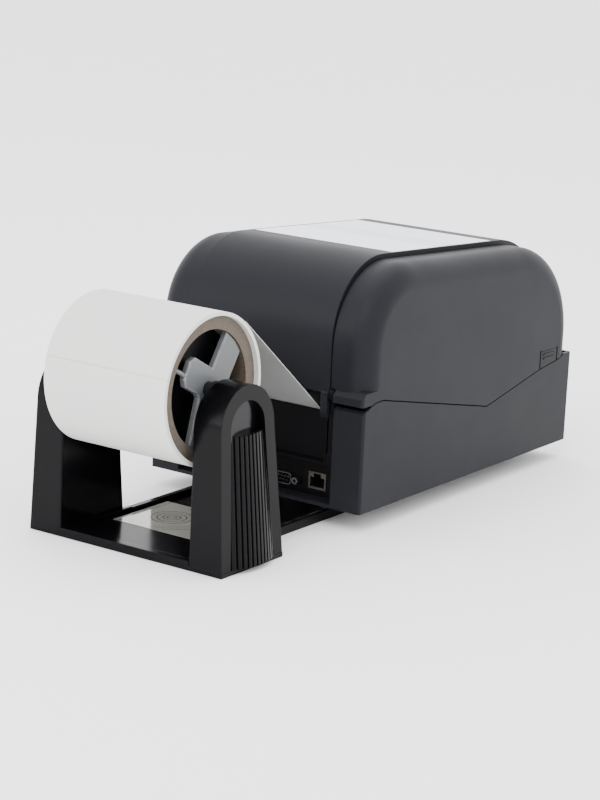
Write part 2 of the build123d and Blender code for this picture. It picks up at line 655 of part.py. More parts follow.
def side_cap(side):
    outer = across(cap_face(), CENTRE_HALF + GROOVE, HALF_WIDTH)
    rim = [e for e in outer.edges() if abs(e.center().X - HALF_WIDTH) < 0.01 and e.center().Z > 60]
    outer = fillet(rim, CAP_EDGE)
    hollow = across(cap_face(WALL), CENTRE_HALF - 1, HALF_WIDTH - WALL)
    rim = [e for e in hollow.edges() if abs(e.center().X - HALF_WIDTH + WALL) < 0.01 and e.center().Z > 60]
    hollow = fillet(rim, CAP_EDGE - WALL)
    cap = outer - hollow
    cap = cap & above_seam(CENTRE_HALF - 1, HALF_WIDTH + 1)
    cap -= block(CENTRE_HALF - 1, EAR_X1 + 0.5, -24, 4, 40, HINGE_Z + 1)
    cap -= round_hinge(CENTRE_HALF - 1, EAR_X1 + 0.5, EAR_R + 0.6)
    cap -= block(CENTRE_HALF - 1, HALF_WIDTH + 1, LEDGE_SLOT, 4, 60, LEDGE_LOW)
    cap += hinge_ledge()
    cap -= round_hinge(CENTRE_HALF, 85, HINGE_PIN_R + RUN)
    for y in TAB_Y:
        cap -= block(HALF_WIDTH - WALL - 1, HALF_WIDTH + 1, y - SLOT / 2, y + SLOT / 2, 60, TAB_TOP)
    cap -= tab_cut(-SLOT / 2)
    return mirrored(cap) if side < 0 else cap


def cover_tab(side):
    """Press tab let into the side cap, with two finger ridges and a catch that reaches below the seam."""
    y0, y1 = TAB_Y[0] + SLOT / 2 + 0.05, TAB_Y[1] - SLOT / 2 - 0.05
    tab = block(HALF_WIDTH - 2.3, HALF_WIDTH, y0, y1, 60, TAB_TOP - SLOT / 2 - 0.3)
    tab &= above_seam(80, HALF_WIDTH + 1)
    for z in (81.4, 84.4):
        tab += block(HALF_WIDTH - 1, HALF_WIDTH + 0.6, y0 + 4, y1 - 4, z, z + 1.1)
    tab += block(HALF_WIDTH - WALL - 2.2, HALF_WIDTH - WALL - 0.4, y0 + 6, y1 - 6, 66, 86)
    tab += block(HALF_WIDTH - WALL - 1, HALF_WIDTH - 2, y0 + 6, y1 - 6, 80.5, 86)
    return mirrored(tab) if side < 0 else tab


def head_frame():
    """Bracket under the lid that carries the print head's pivot and backs its springs."""
    outline = [(-205, 92), (-205, 150), (-222, 156), (-246, 150), (-262, 120), (-266, 100), (-244, 92)]
    frame = block(-57.5, 57.5, -258, -238, 103, 104.5)
    for side in (-1, 1):
        x0, x1 = ordered(side, 56, 57.5)
        plate = prism(outline, x0, x1)
        frame += plate - rod_x(*HEAD_PIVOT, 2 + RUN, x0 - 1, x1 + 1)
        x0, x1 = ordered(side, 46, 57.5)
        frame += block(x0, x1, -224, -212, 148.5, 150)
        frame += prism([(-222, 149), (-214, 149), (-214, 166.2), (-222, 164.2)], *ordered(side, 52, 56.5))
    return frame


def head_bracket():
    bracket = block(-53, 53, -270, -236, 86, 89) + block(-53, 53, -238, -233, 86, 98)
    for side in (-1, 1):
        x0, x1 = ordered(side, 50, 54.8)
        y, z = HEAD_PIVOT
        bracket += block(x0, x1, -238, y, 90, z + 3.2)
        bracket += rod_x(y, z, 4.0, x0, x1)
        bracket += rod_x(y, z, 2.0, *ordered(side, 50, 59))
    return bracket


def print_head():
    head = block(-52, 52, -266, -246, 82.2, 86)
    return head + block(-50, 50, PLATEN_Y - 2.5, PLATEN_Y + 2.5, 81.0, 82.3)


def head_springs():
    springs = []
    for x in (-30, 30):
        path = Helix(pitch=2.6, height=12.6, radius=3.4, center=(x, -247, 89.7))
        ring = Plane(origin=path @ 0, z_dir=path % 0) * Circle(0.5)
        springs.append(sweep(ring, path=path))
    return Compound(springs)


# ---- label stock ----
def web_points():
    """Middle line of the label from the roll to the front edge, before its bend is rounded."""
    angle = radians(WEB_ANGLE)
    reach = ROLL_R + 0.35 + WEB / 2
    start = (ROLL_Y - reach * sin(angle), ROLL_Z + reach * cos(angle))
    bend = (BEND_Y, start[1] - (start[0] - BEND_Y) * tan(angle))
    nip = (PLATEN_Y, PLATEN_Z + PLATEN_R + 0.5)
    return [start, bend, (-172, 73.2), nip, (-DEPTH + 0.2, nip[1])]


def roller_place():
    """Axis of the guide roller, inside the label's bend."""
    start, bend, after = web_points()[:3]
    back = (start[0] - bend[0], start[1] - bend[1])
    ahead = (after[0] - bend[0], after[1] - bend[1])
    a0, a1 = atan2(back[1], back[0]), atan2(ahead[1], ahead[0])
    half = (a1 - a0) / 2
    reach = BEND_R / sin(half)
    return bend[0] + reach * cos(a0 + half), bend[1] + reach * sin(a0 + half)


def label_web():
    """One strip: straight runs, and short chords round the bend over the guide roller."""
    start, bend, after, nip, end = web_points()
    first = -pi / 2 + radians(WEB_ANGLE)
    last = -pi / 2 - atan2(after[1] - bend[1], bend[0] - after[0])
    steps = 8
    arc = []
    for k in range(steps + 1):
        angle = first + (last - first) * k / steps
        arc.append((ROLLER_Y + BEND_R * cos(angle), ROLLER_Z + BEND_R * sin(angle)))
    line = [start] + arc + [after, nip, end]
    upper, lower = [], []
    for k, (y, z) in enumerate(line):
        before, behind = line[max(k - 1, 0)], line[min(k + 1, len(line) - 1)]
        dy, dz = behind[0] - before[0], behind[1] - before[1]
        length = hypot(dy, dz)
        upper.append((y + dz / length * WEB / 2, z - dy / length * WEB / 2))
        lower.append((y - dz / length * WEB / 2, z + dy / length * WEB / 2))
    return prism(upper + lower[::-1], -ROLL_HALF + 0.2, ROLL_HALF - 0.2)


def label_roll():
    tube = rod_x(ROLL_Y, ROLL_Z, ROLL_R, -ROLL_HALF, ROLL_HALF)
    return tube - rod_x(ROLL_Y, ROLL_Z, CORE_R, -60, 60)


def label_core():
    edge = ROLL_HALF - CORE_RECESS
    tube = rod_x(ROLL_Y, ROLL_Z, CORE_R, -edge, edge)
    return tube - rod_x(ROLL_Y, ROLL_Z, CORE_BORE, -60, 60)


def core_adapter(side):
    """Thin cross that centres the core: two arms reach the bore, two short ones carry a rib to it."""
    reach = CORE_BORE - 0.15
    face = Circle(ADAPTER_BOSS)
    for turn, offset in LONG_ARMS:
        face += Rot(0, 0, turn) * Pos(reach / 2, offset) * Rectangle(reach, ARM_WIDTH)
    short = Rectangle(SHORT_REACH, ARM_WIDTH)
    short = chamfer(short.vertices().sort_by(Axis.X)[-2:], 4)
    for turn, offset in SHORT_ARMS:
        face += Rot(0, 0, turn) * Pos(SHORT_REACH / 2, offset) * short
        face += Rot(0, 0, turn) * Pos(reach / 2, 0) * Rectangle(reach, 2.4)
    cross = extrude(face & Circle(reach), ADAPTER_THICK)
    cross = chamfer(cross.faces().sort_by(Axis.Z)[-1].edges(), 0.7)
    cross -= Cylinder(SPINDLE_R, 60)
    place = (ADAPTER_X - ADAPTER_THICK, ROLL_Y, ROLL_Z)
    cross = Plane(origin=place, x_dir=(0, 1, 0), z_dir=(1, 0, 0)) * cross
    return mirrored(cross) if side < 0 else cross


def core_hub():
    """Tube that joins the two adapters, with a locating disc near each end."""
    end = ADAPTER_X - ADAPTER_THICK
    hub = rod_x(ROLL_Y, ROLL_Z, HUB_R, -end, end)
    for side in (-1, 1):
        hub += rod_x(ROLL_Y, ROLL_Z, CORE_BORE - 0.3, *ordered(side, 30, 33))
    return hub - rod_x(ROLL_Y, ROLL_Z, SPINDLE_R, -60, 60)


def spindle_rod():
    rod = rod_x(ROLL_Y, ROLL_Z, SPINDLE_R, -SPINDLE_HALF, SPINDLE_HALF)
    for side in (-1, 1):
        rod += rod_x(ROLL_Y, ROLL_Z, 6.4, *ordered(side, 49.2, 51.4))
    return chamfer([rod.edges().sort_by(Axis.X)[0], rod.edges().sort_by(Axis.X)[-1]], 0.8)


# ---- holder ----
def holder_base():
    tray = block(-HOLDER_HALF, HOLDER_HALF, POST_FRONT, POST_REAR, 0, RIM)
    tongue = block(-PLATE_HALF, PLATE_HALF, PLATE_FRONT, POST_FRONT + 1, 0, RIM)
    base = tray + tongue
    base -= block(-POST_INNER + 3, POST_INNER - 3, POST_FRONT - 4, POST_REAR - 5, TRAY_FLOOR, RIM + 1)
    base -= block(-PLATE_HALF + 4, PLATE_HALF - 4, PLATE_FRONT + 4, POST_FRONT, TRAY_FLOOR, RIM + 1)
    for side in (-1, 1):
        x0, x1 = ordered(side, POST_INNER - 0.1, HOLDER_HALF + 1)
        base -= block(x0, x1, POST_FRONT - 1, POST_REAR + 1, TRAY_FLOOR, RIM + 1)
        for y in HOLDER_SCREW_Y:
            base -= rod_z(side * HOLDER_SCREW_X, y, 1.8, -1, 10)
            base -= rod_z(side * HOLDER_SCREW_X, y, 3.6, -1, 1.6)
    return base


def post_face(grow=0.0):
    front, rear = POST_FRONT - grow, POST_REAR + grow
    radius = POST_ARC_R + grow
    arc_front, arc_rear = (POST_ARC_Y - radius, POST_ARC_Z), (POST_ARC_Y + radius, POST_ARC_Z)
    top = (POST_ARC_Y, POST_ARC_Z + radius)
    wires = [Line((front, 0), arc_front), ThreePointArc(arc_front, top, arc_rear),
             Line(arc_rear, (rear, 0)), Line((rear, 0), (front, 0))]
    return make_face(wires)


def post(side):
    """Upright post, hollow from outside, with a bearing bore for the spindle's end."""
    solid = across(post_face(), POST_INNER, HOLDER_HALF)
    outline = [(POST_INNER, 0), (HOLDER_HALF, 0), (HOLDER_HALF - POST_LEAN * POST_HEIGHT, POST_HEIGHT),
               (POST_INNER, POST_HEIGHT)]
    solid &= extrude(Plane.XZ.offset(-POST_REAR - 1) * side_face(outline), 80)
    rim = [e for e in solid.edges() if abs(e.center().X - POST_INNER) < 0.01 and e.center().Z > 1]
    solid = fillet(rim, 1.2)
    recess = across(post_face(-POST_BORDER), POST_INNER + POST_WALL, HOLDER_HALF + 10)
    for y in HOLDER_SCREW_Y:
        recess -= rod_z(HOLDER_SCREW_X, y, 4.5, -1, 16)
        recess -= block(POST_INNER, HOLDER_SCREW_X, y - 1.2, y + 1.2, -1, 16)
    recess -= rod_x(ROLL_Y, ROLL_Z, 9, POST_INNER, POST_INNER + BORE_DEPTH + 2)
    solid -= recess
    solid -= block(POST_INNER - 1, HOLDER_HALF + 8, 60, 150, -10, TRAY_FLOOR + 0.02)
    solid -= rod_x(ROLL_Y, ROLL_Z, SPINDLE_R + RUN, POST_INNER - 1, POST_INNER + BORE_DEPTH)
    for y in HOLDER_SCREW_Y:
        solid -= rod_z(HOLDER_SCREW_X, y, 1.5, 0, 14)
    return mirrored(solid) if side < 0 else solid


def cover_crown(radius):
    """Leaning cylinder that shapes the ribbed cover; it stands further out towards the table."""
    foot = (COVER_OUT[0] - COVER_R, COVER_CROWN_Y[0], COVER_LOW)
    rise = (COVER_OUT[1] - COVER_OUT[0], COVER_CROWN_Y[1] - COVER_CROWN_Y[0], RIB_TOP - COVER_LOW)
    round_face = Plane(origin=foot, z_dir=rise) * Circle(radius)
    return extrude(round_face, 110) + extrude(round_face, -20)


def post_cover(side):
    """Ribbed outer cover: a crowned shell below, a scooped plate above."""
    back = POST_INNER + 14.1
    face = post_face(-POST_BORDER - 0.2)
    crowned = across(face, back, HOLDER_HALF + 12) & cover_crown(COVER_R)
    crowned &= block(back, HOLDER_HALF + 12, 60, 150, COVER_LOW, RIB_TOP)
    scoop = [(back, 80), (67.2, 80), (73.9, 129), (back, 129)]
    scooped = extrude(Plane.XY.offset(RIB_TOP - 3) * side_face(scoop), 40)
    cover = crowned + (scooped & across(face, back, HOLDER_HALF + 12))
    hollow = across(post_face(-POST_BORDER - 0.2 - COVER_SKIN), back - 1, HOLDER_HALF)
    hollow &= cover_crown(COVER_R - COVER_SKIN - GROOVE_DEPTH)
    low, high = COVER_LOW + COVER_SKIN, RIB_TOP - 3 - COVER_SKIN
    cover -= hollow & block(back - 1, HOLDER_HALF + 12, 60, 150, low, high)
    cutter = cover_crown(COVER_R + 8) - cover_crown(COVER_R - GROOVE_DEPTH)
    for k in range(RIB_COUNT):
        y0 = RIB_FIRST + k * RIB_PITCH - GROOVE_WIDTH / 2
        slot = block(back + 1, HOLDER_HALF + 12, y0, y0 + GROOVE_WIDTH, COVER_LOW - 1, RIB_TOP + 1)
        cover -= cutter & slot
    return mirrored(cover) if side < 0 else cover


def holder_screws():
    screws = []
    for side in (-1, 1):
        for y in HOLDER_SCREW_Y:
            x = side * HOLDER_SCREW_X
            screw = rod_z(x, y, 3.5, 0.3, 1.6) + rod_z(x, y, 1.5, 1.5, 12)
            screw -= block(x - 2, x + 2, y - 0.4, y + 0.4, 0, 1.0)
            screws.append(screw)
    return Compound(screws)


def guide_sticker():
    return block(-46, 46, 34, 92, TRAY_FLOOR, TRAY_FLOOR + 0.2)


ROLLER_Y, ROLLER_Z = roller_place()

NODES = {
    "lower_housing": lower_housing,
    "rear_panel": rear_panel,
    "hinge_pins": hinge_pins,
    "main_board": main_board,
    "ethernet_port": ethernet_port,
    "serial_port": serial_port,
    "jack_screws": jack_screws,
    "usb_port": usb_port,
    "power_inlet": power_inlet,
    "switch_body": switch_body,
    "power_rocker": power_rocker,
    "rubber_feet": rubber_feet,
    "housing_screws": housing_screws,
    "feed_button": feed_button,
    "status_lenses": status_lenses,
    "button_board": button_board,
    "inner_deck": inner_deck,
    "guide_roller": guide_roller,
    "chassis": chassis,
    "platen_bearings": platen_bearings,
    "platen_shaft": platen_shaft,
    "platen_sleeve": platen_sleeve,
    "platen_gear": platen_gear,
    "idler_gear": idler_gear,
    "stepper_motor": stepper_motor,
    "motor_pinion": motor_pinion,
    "sensor_rail": sensor_rail,
    "label_sensor": label_sensor,
    "tear_bar": tear_bar,
    "label_guide_left": lambda: label_guide(-1),
    "label_guide_right": lambda: label_guide(1),
    "guide_pinion": guide_pinion,
    "lid_shell": lid_shell,
    "lid_window": lid_window,
    "lid_liner": lid_liner,
    "side_cap_left": lambda: side_cap(-1),
    "side_cap_right": lambda: side_cap(1),
    "cover_tab_left": lambda: cover_tab(-1),
    "cover_tab_right": lambda: cover_tab(1),
    "head_frame": head_frame,
    "head_bracket": head_bracket,
    "print_head": print_head,
    "head_springs": head_springs,
    "label_web": label_web,
    "label_roll": label_roll,
    "label_core": label_core,
    "core_adapter_left": lambda: core_adapter(-1),
    "core_adapter_right": lambda: core_adapter(1),
    "core_hub": core_hub,
    "spindle_rod": spindle_rod,
    "holder_base": holder_base,
    "post_left": lambda: post(-1),
    "post_right": lambda: post(1),
    "post_cover_left": lambda: post_cover(-1),
    "post_cover_right": lambda: post_cover(1),
    "holder_screws": holder_screws,
    "guide_sticker": guide_sticker,
}

os.makedirs("parts", exist_ok=True)
for name, make in NODES.items():
    export_step(Pos(0, Y_SHIFT, 0) * make(), f"parts/{name}.step")
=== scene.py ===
import json
import math
import bpy
from mathutils import Matrix, Vector

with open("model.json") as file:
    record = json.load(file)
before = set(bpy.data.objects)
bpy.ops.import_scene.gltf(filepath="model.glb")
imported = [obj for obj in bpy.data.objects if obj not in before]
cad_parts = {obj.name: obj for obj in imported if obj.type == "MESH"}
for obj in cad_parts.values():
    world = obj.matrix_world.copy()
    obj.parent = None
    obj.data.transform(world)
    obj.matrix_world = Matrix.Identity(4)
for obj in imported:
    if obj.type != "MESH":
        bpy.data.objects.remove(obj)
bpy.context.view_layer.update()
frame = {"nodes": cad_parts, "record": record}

NODES = frame["nodes"]
SHIFT = 0.0597           # the printer's rear face stands at this y in the shared frame
ROLL_Y = 0.112 + SHIFT
ROLL_Z = 0.1108
ROLL_RIM = (0.0497, 0.0502)     # die-cut gaps fade out between these radii
ROLL_END = 0.04815              # past this distance from the middle, paper is a wound end
CORE_END = 0.04465              # past this distance from the middle, core board is a cut end
PAPER_LAYER = 0.00022           # period of the paper layers drawn at the roll's ends
CORE_LAYER = 0.0011             # period of the turns drawn in the core board
GAP_TURNS = (math.radians(16.5), math.radians(16.5 + 174.0))     # die-cut gaps that show on the roll


# ---- shader helpers ----
class Tree:
    """A material's node tree with short names for the nodes that every finish uses."""

    def __init__(self, name):
        self.mat = bpy.data.materials.new(name)
        self.mat.use_nodes = True
        self.nodes = self.mat.node_tree.nodes
        self.links = self.mat.node_tree.links
        self.shader = self.nodes["Principled BSDF"]
        self.coords = self.nodes.new("ShaderNodeTexCoord").outputs["Object"]

    def feed(self, socket, value):
        if isinstance(value, bpy.types.NodeSocket):
            self.links.new(value, socket)
        else:
            socket.default_value = value

    def set(self, **values):
        for name, value in values.items():
            self.feed(self.shader.inputs[name.replace("_", " ")], value)

    def noise(self, scale, detail=4.0, rough=0.55, stretch=None, distort=0.0):
        node = self.nodes.new("ShaderNodeTexNoise")
        vector = self.coords if stretch is None else self.stretched(stretch)
        self.links.new(vector, node.inputs["Vector"])
        node.inputs["Scale"].default_value = scale
        node.inputs["Detail"].default_value = detail
        node.inputs["Roughness"].default_value = rough
        node.inputs["Distortion"].default_value = distort
        return node.outputs["Fac"]

    def stretched(self, scale):
        node = self.nodes.new("ShaderNodeMapping")
        self.links.new(self.coords, node.inputs["Vector"])
        node.inputs["Scale"].default_value = scale
        return node.outputs["Vector"]

    def voronoi(self, scale, feature="F1"):
        node = self.nodes.new("ShaderNodeTexVoronoi")
        node.feature = feature
        self.links.new(self.coords, node.inputs["Vector"])
        node.inputs["Scale"].default_value = scale
        return node.outputs["Distance"]

    def remap(self, value, low, high, to_low, to_high, smooth=False):
        node = self.nodes.new("ShaderNodeMapRange")
        node.interpolation_type = "SMOOTHSTEP" if smooth else "LINEAR"
        for name, item in (("Value", value), ("From Min", low), ("From Max", high),
                           ("To Min", to_low), ("To Max", to_high)):
            self.feed(node.inputs[name], item)
        return node.outputs["Result"]

    def math(self, kind, a, b=0.0, c=0.0):
        node = self.nodes.new("ShaderNodeMath")
        node.operation = kind
        for k, item in enumerate((a, b, c)):
            self.feed(node.inputs[k], item)
        return node.outputs["Value"]

    def mix(self, amount, a, b):
        node = self.nodes.new("ShaderNodeMix")
        node.data_type = "RGBA"
        self.feed(node.inputs["Factor"], amount)
        self.feed(node.inputs["A"], a)
        self.feed(node.inputs["B"], b)
        return node.outputs["Result"]

    def axis(self, name):
        node = self.nodes.new("ShaderNodeSeparateXYZ")
        self.links.new(self.coords, node.inputs["Vector"])
        return node.outputs[name]

    def from_axis(self):
        """Offset from the label roll's axis."""
        dy = self.math("SUBTRACT", self.axis("Y"), ROLL_Y)
        dz = self.math("SUBTRACT", self.axis("Z"), ROLL_Z)
        return dy, dz

    def radius(self):
        """Distance from the label roll's axis."""
        dy, dz = self.from_axis()
        square = self.math("ADD", self.math("MULTIPLY", dy, dy), self.math("MULTIPLY", dz, dz))
        return self.math("SQRT", square)

    def off_turn(self, turn):
        """Distance to one side of the half plane that leaves the roll's axis at that angle."""
        dy, dz = self.from_axis()
        c, s = math.cos(turn), math.sin(turn)
        aside = self.math("SUBTRACT", self.math("MULTIPLY", dz, c), self.math("MULTIPLY", dy, s))
        along = self.math("ADD", self.math("MULTIPLY", dy, c), self.math("MULTIPLY", dz, s))
        return self.math("ADD", aside, self.math("LESS_THAN", along, 0.0))

    def soft_edge(self, radius):
        """Normal of the surface with its edges rounded by radius."""
        node = self.nodes.new("ShaderNodeBevel")
        node.samples = 4
        node.inputs["Radius"].default_value = radius
        return node.outputs["Normal"]

    def edge_mask(self, radius, gain=3.0):
        """0 on open faces, up to 1 within about radius of an edge."""
        rounded = self.soft_edge(radius)
        flat = self.nodes.new("ShaderNodeNewGeometry").outputs["Normal"]
        node = self.nodes.new("ShaderNodeVectorMath")
        node.operation = "DOT_PRODUCT"
        self.links.new(rounded, node.inputs[0])
        self.links.new(flat, node.inputs[1])
        turned = self.math("SUBTRACT", 1.0, node.outputs["Value"])
        return self.remap(turned, 0.0, 0.3 / gain, 0.0, 1.0)

    def bump(self, height, distance, strength=1.0, normal=None):
        node = self.nodes.new("ShaderNodeBump")
        self.feed(node.inputs["Height"], height)
        node.inputs["Distance"].default_value = distance
        node.inputs["Strength"].default_value = strength
        if normal is not None:
            self.links.new(normal, node.inputs["Normal"])
        return node.outputs["Normal"]


def rgba(colour, gain=1.0):
    return (colour[0] * gain, colour[1] * gain, colour[2] * gain, 1.0)


def moulded(name, colour, rough, grain=0.00002, grain_scale=2600.0, edge=0.0005, edge_wear_and_highlight=0.35,
            dust=0.02, spec=0.35, pale=None):
    """Injection-moulded plastic: spark texture, uneven sheen, polished edges painted lighter (wear, and
    partly a painted highlight on the bevels), a trace of dust on top.
    """
    t = Tree(name)
    broad = t.noise(9.0, 5.0)
    fine = t.noise(grain_scale, 3.0)
    smear = t.noise(28.0, 6.0, 0.6)
    # edges painted lighter and made glossier: partly wear and polish, partly a painted highlight on the
    # bevels
    lightened_edges = t.math("MULTIPLY", t.edge_mask(edge), t.remap(t.noise(240.0), 0.35, 0.7, 0.2, 1.0))
    tone = t.mix(t.remap(broad, 0.3, 0.7, 0.0, 1.0), rgba(colour, 0.94), rgba(colour, 1.06))
    tone = t.mix(t.remap(fine, 0.4, 0.75, 0.0, 0.25), tone, rgba(colour, 1.5))
    # pale, when given, is the colour of that painted edge highlight
    lighter = pale or tuple(min(1.0, c * 1.6 + 0.006) for c in colour)
    tone = t.mix(t.math("MULTIPLY", lightened_edges, edge_wear_and_highlight), tone, rgba(lighter))
    up = t.nodes.new("ShaderNodeSeparateXYZ")
    t.links.new(t.nodes.new("ShaderNodeNewGeometry").outputs["Normal"], up.inputs["Vector"])
    speck = t.remap(t.noise(900.0, 2.0), 0.6, 0.78, 0.0, 1.0)
    film = t.math("MULTIPLY", t.remap(up.outputs["Z"], 0.5, 1.0, 0.0, dust), t.math("ADD", speck, 0.25))
    t.set(Base_Color=t.mix(film, tone, rgba((0.35, 0.34, 0.33))))
    t.shader.inputs["Base Color"].default_value = rgba(colour)
    sheen = t.remap(smear, 0.25, 0.75, rough - 0.03, rough + 0.04)
    t.set(Roughness=t.math("SUBTRACT", sheen, t.math("MULTIPLY", lightened_edges, 0.08)))
    t.shader.inputs["Roughness"].default_value = rough
    t.set(Specular_IOR_Level=spec)
    t.set(Normal=t.bump(fine, grain, 1.0, t.soft_edge(edge)))
    return t


def metal(name, colour, rough):
    """Bright or plated metal with a rolling or turning grain, tarnish patches and bright edges."""
    t = Tree(name)
    edge = 0.0003
    lines = t.noise(160.0, 4.0, 0.6, (1.0, 40.0, 1.0))
    cloud = t.noise(55.0, 5.0)
    lightened_edges = t.edge_mask(edge)
    tone = t.mix(t.remap(cloud, 0.35, 0.7, 0.0, 1.0), rgba(colour), rgba(colour, 0.78))
    brighter = tuple(min(1.0, c * 1.25) for c in colour)
    tone = t.mix(t.math("MULTIPLY", lightened_edges, 0.6), tone, rgba(brighter))
    t.set(Base_Color=tone, Metallic=1.0)
    t.shader.inputs["Base Color"].default_value = rgba(colour)
    t.set(Roughness=t.remap(lines, 0.3, 0.7, rough - 0.07, rough + 0.125))
    t.shader.inputs["Roughness"].default_value = rough
    t.set(Normal=t.bump(lines, 0.00002, 0.6, t.soft_edge(edge)))
    return t


def rubber(name, colour):
    t = Tree(name)
    pores = t.noise(1500.0, 4.0)
    tone = t.mix(t.remap(t.noise(40.0), 0.3, 0.7, 0.0, 1.0), rgba(colour, 0.8), rgba(colour, 1.5))
    tone = t.mix(t.math("MULTIPLY", t.edge_mask(0.0005), 0.5), tone, rgba((0.09, 0.09, 0.09)))
    t.set(Base_Color=tone, Roughness=t.remap(t.noise(90.0), 0.3, 0.7, 0.62, 0.85))
    t.shader.inputs["Base Color"].default_value = rgba(colour)
    t.set(Normal=t.bump(pores, 0.00005, 0.8, t.soft_edge(0.0005)))
    return t


def paper(name, colour, below=None):
    """Coated thermal label: faint fibre, die-cut gaps across the roll, wound layers seen at its ends.

    A strip that is seen from below shows its greyer liner there, painted darker as painted shade under the
    strip.
    """
    t = Tree(name)
    fibre = t.noise(1800.0, 6.0, 0.7, (1.0, 1.6, 1.0))
    cloud = t.noise(9.0, 4.0)
    tone = t.mix(t.remap(cloud, 0.3, 0.7, 0.0, 1.0), rgba(colour, 0.975), rgba(colour, 1.01))
    gap = None
    for turn in GAP_TURNS:
        line = t.remap(t.math("ABSOLUTE", t.off_turn(turn)), 0.0004, 0.0009, 1.0, 0.0, True)
        gap = line if gap is None else t.math("MAXIMUM", gap, line)
    round_the_roll = t.remap(t.radius(), *ROLL_RIM, 1.0, 0.0)
    gap = t.math("MULTIPLY", gap, round_the_roll)
    tone = t.mix(t.math("MULTIPLY", gap, 0.45), tone, rgba((0.42, 0.41, 0.38)))
    layers = t.math("SINE", t.math("MULTIPLY", t.radius(), 2 * math.pi / PAPER_LAYER))
    side = t.math("GREATER_THAN", t.math("ABSOLUTE", t.axis("X")), ROLL_END)
    edge = t.math("MULTIPLY", side, t.remap(layers, -0.2, 1.0, 0.1, 0.55))
    tone = t.mix(edge, tone, rgba((0.5, 0.48, 0.44)))
    tone = t.mix(t.math("MULTIPLY", t.edge_mask(0.0004), 0.25), tone, rgba((0.62, 0.62, 0.6)))
    # painted shade: the strip's underside is drawn dark grey, its liner in shade
    if below is not None:
        facing = t.nodes.new("ShaderNodeSeparateXYZ")
        t.links.new(t.nodes.new("ShaderNodeNewGeometry").outputs["Normal"], facing.inputs["Vector"])
        shaded_liner = t.mix(t.remap(fibre, 0.3, 0.7, 0.0, 1.0), rgba(below, 0.94), rgba(below, 1.04))
        tone = t.mix(t.math("LESS_THAN", facing.outputs["Z"], 0.0), tone, shaded_liner)
    t.set(Base_Color=tone, Roughness=t.remap(t.noise(70.0), 0.3, 0.7, 0.42, 0.56))
    t.shader.inputs["Base Color"].default_value = rgba(colour)
    height = t.math("SUBTRACT", t.math("MULTIPLY", fibre, 0.1), gap)
    t.set(Specular_IOR_Level=0.3, Normal=t.bump(height, 0.00012, 0.7))
    return t


def kraft(name):
    """Wound core board: dark turns and pale fibres at the cut ends, duller inside, and painted a shade
    darker there as painted shade in the bore.
    """
    t = Tree(name)
    turns = t.math("SINE", t.math("MULTIPLY", t.radius(), 2 * math.pi / CORE_LAYER))
    fibre = t.noise(700.0, 6.0, 0.7)
    end = t.math("GREATER_THAN", t.math("ABSOLUTE", t.axis("X")), CORE_END)
    cut = t.mix(t.remap(fibre, 0.3, 0.75, 0.0, 1.0), rgba((0.07, 0.056, 0.046)), rgba((0.14, 0.12, 0.1)))
    # the bore's colour is a little darker than the cut ends: painted shade inside the tube
    inside = t.mix(t.remap(fibre, 0.3, 0.75, 0.0, 1.0),
                   rgba((0.07, 0.052, 0.04)), rgba((0.14, 0.105, 0.08)))
    tone = t.mix(end, inside, cut)
    dark_turns = t.math("MULTIPLY", t.remap(turns, 0.4, 1.0, 0.0, 0.5), t.remap(fibre, 0.3, 0.6, 1.0, 0.3))
    tone = t.mix(dark_turns, tone, rgba((0.12, 0.09, 0.07)))
    t.set(Base_Color=tone, Roughness=t.remap(fibre, 0.3, 0.7, 0.75, 0.95), Specular_IOR_Level=0.2)
    t.shader.inputs["Base Color"].default_value = rgba((0.25, 0.2, 0.155))
    t.set(Normal=t.bump(t.math("ADD", fibre, t.math("MULTIPLY", turns, 0.25)), 0.00012, 0.8))
    return t


# ---- finishes ----
CHARCOAL = (0.0085, 0.0086, 0.0112)
FINISH = {}
FINISH["charcoal_plastic"] = moulded("charcoal_plastic", CHARCOAL, 0.44, edge_wear_and_highlight=0.3, spec=0.1)
FINISH["dark_plastic"] = moulded("dark_plastic", (0.0022, 0.0022, 0.003), 0.4, edge_wear_and_highlight=0.2, spec=0.06)
FINISH["holder_gloss"] = moulded("holder_gloss", (0.0014, 0.0013, 0.0019), 0.16, grain=0.000004,
                                 grain_scale=500.0, edge_wear_and_highlight=0.25, dust=0.004, spec=0.1)
FINISH["gear_nylon"] = moulded("gear_nylon", (0.72, 0.7, 0.62), 0.4, edge_wear_and_highlight=0.2, edge=0.0003)
# the adapter's full-strength pale edges are a painted highlight on its bevelled arms
FINISH["adapter_grey"] = moulded("adapter_grey", (0.095, 0.1, 0.106), 0.35, edge_wear_and_highlight=1.0, edge=0.0009,
                                 pale=(0.4, 0.41, 0.41))
FINISH["spindle_black"] = moulded("spindle_black", (0.006, 0.006, 0.007), 0.25, grain=0.000004,
                                  edge_wear_and_highlight=0.3, spec=0.3)
FINISH["motor_black"] = moulded("motor_black", (0.014, 0.014, 0.016), 0.4, edge_wear_and_highlight=0.5, edge=0.0006)
FINISH["plated_steel"] = metal("plated_steel", (0.45, 0.45, 0.46), 0.3)
FINISH["head_aluminium"] = metal("head_aluminium", (0.6, 0.6, 0.62), 0.32)
FINISH["rubber_black"] = rubber("rubber_black", (0.016, 0.016, 0.016))
FINISH["label_paper"] = paper("label_paper", (0.6, 0.605, 0.59))
FINISH["core_board"] = kraft("core_board")


